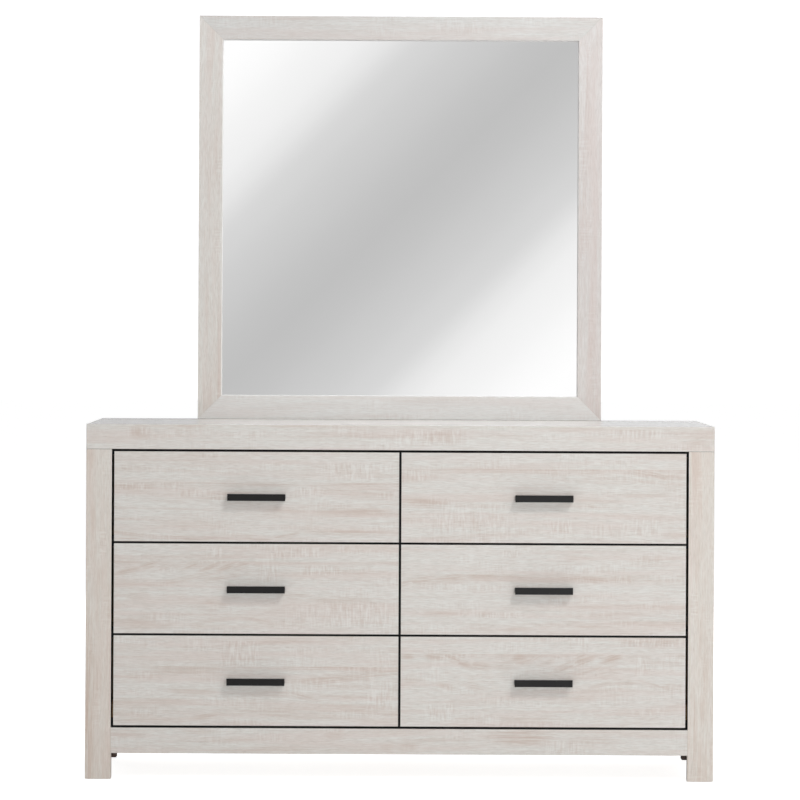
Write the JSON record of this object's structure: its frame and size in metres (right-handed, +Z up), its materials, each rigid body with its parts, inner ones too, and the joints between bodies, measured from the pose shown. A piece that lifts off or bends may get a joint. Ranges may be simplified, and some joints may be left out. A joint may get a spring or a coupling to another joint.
{
  "type": "dresser with mirror",
  "caption": "Low wide dresser in whitewashed oak laminate with inset slab drawers on flat black bar pulls, and a square framed mirror standing on its rear edge.",
  "frame": {"origin": "on the floor under the middle of the whole object, pulls and mirror supports included", "axes": "+Z up, +X to the right of someone facing the drawers, drawers open towards -Y"},
  "size_m": [1.48, 0.44, 1.841],
  "materials": {
    "whitewashed_oak": "whitewashed oak paper laminate, matt",
    "black_stained_wood": "black painted board, matt",
    "bare_softwood": "planed softwood, unfinished",
    "dark_brown_block": "dark brown stained block",
    "back_hardboard": "thin hardboard, printed face",
    "drawer_board": "paper wrapped drawer board",
    "drawer_hardboard": "thin hardboard drawer bottom",
    "black_pull": "black powder coat, satin",
    "silvered_glass": "silvered float glass",
    "glide_plastic": "moulded glide",
    "screw_steel": "zinc plated screw"
  },
  "bodies": {
    "case": {"top_board": "whitewashed_oak", "top_front_band": "whitewashed_oak", "bottom_rail": "whitewashed_oak", "front_bottom_cleat": "bare_softwood", "rear_bottom_rail": "bare_softwood", "rear_top_rail": "bare_softwood", "centre_partition": "black_stained_wood", "back_panel": "back_hardboard", "corner_blocks": "dark_brown_block", "floor_glides": "glide_plastic", "front_web_rails": "black_stained_wood", "rear_web_rails": "bare_softwood", "drawer_runners": "bare_softwood", "drawer_guide_strips": "bare_softwood", "mirror_top_rail": "whitewashed_oak", "mirror_bottom_rail": "whitewashed_oak", "mirror_glass": "silvered_glass", "mirror_backing": "back_hardboard", "support_screws": "screw_steel", "top_left_band": "whitewashed_oak", "left_side_panel": "whitewashed_oak", "left_front_leg": "whitewashed_oak", "mirror_left_stile": "whitewashed_oak", "left_mirror_support": "whitewashed_oak", "top_right_band": "whitewashed_oak", "right_side_panel": "whitewashed_oak", "right_front_leg": "whitewashed_oak", "mirror_right_stile": "whitewashed_oak", "right_mirror_support": "whitewashed_oak"},
    "bottom_left_drawer": {"bottom_left_drawer_front": "whitewashed_oak", "bottom_left_drawer_sides": "drawer_board", "bottom_left_drawer_back": "drawer_board", "bottom_left_drawer_bottom": "drawer_hardboard", "bottom_left_drawer_pull": "black_pull"},
    "middle_left_drawer": {"middle_left_drawer_front": "whitewashed_oak", "middle_left_drawer_sides": "drawer_board", "middle_left_drawer_back": "drawer_board", "middle_left_drawer_bottom": "drawer_hardboard", "middle_left_drawer_pull": "black_pull"},
    "top_left_drawer": {"top_left_drawer_front": "whitewashed_oak", "top_left_drawer_sides": "drawer_board", "top_left_drawer_back": "drawer_board", "top_left_drawer_bottom": "drawer_hardboard", "top_left_drawer_pull": "black_pull"},
    "bottom_right_drawer": {"bottom_right_drawer_front": "whitewashed_oak", "bottom_right_drawer_sides": "drawer_board", "bottom_right_drawer_back": "drawer_board", "bottom_right_drawer_bottom": "drawer_hardboard", "bottom_right_drawer_pull": "black_pull"},
    "middle_right_drawer": {"middle_right_drawer_front": "whitewashed_oak", "middle_right_drawer_sides": "drawer_board", "middle_right_drawer_back": "drawer_board", "middle_right_drawer_bottom": "drawer_hardboard", "middle_right_drawer_pull": "black_pull"},
    "top_right_drawer": {"top_right_drawer_front": "whitewashed_oak", "top_right_drawer_sides": "drawer_board", "top_right_drawer_back": "drawer_board", "top_right_drawer_bottom": "drawer_hardboard", "top_right_drawer_pull": "black_pull"}
  },
  "joints": [
    {"name": "bottom_left_drawer_slide", "type": "slide", "parent": "case", "child": "bottom_left_drawer", "axis": [0, -1, 0], "range_m": [0, 0.26]},
    {"name": "middle_left_drawer_slide", "type": "slide", "parent": "case", "child": "middle_left_drawer", "axis": [0, -1, 0], "range_m": [0, 0.26]},
    {"name": "top_left_drawer_slide", "type": "slide", "parent": "case", "child": "top_left_drawer", "axis": [0, -1, 0], "range_m": [0, 0.26]},
    {"name": "bottom_right_drawer_slide", "type": "slide", "parent": "case", "child": "bottom_right_drawer", "axis": [0, -1, 0], "range_m": [0, 0.26]},
    {"name": "middle_right_drawer_slide", "type": "slide", "parent": "case", "child": "middle_right_drawer", "axis": [0, -1, 0], "range_m": [0, 0.26]},
    {"name": "top_right_drawer_slide", "type": "slide", "parent": "case", "child": "top_right_drawer", "axis": [0, -1, 0], "range_m": [0, 0.26]}
  ]
}
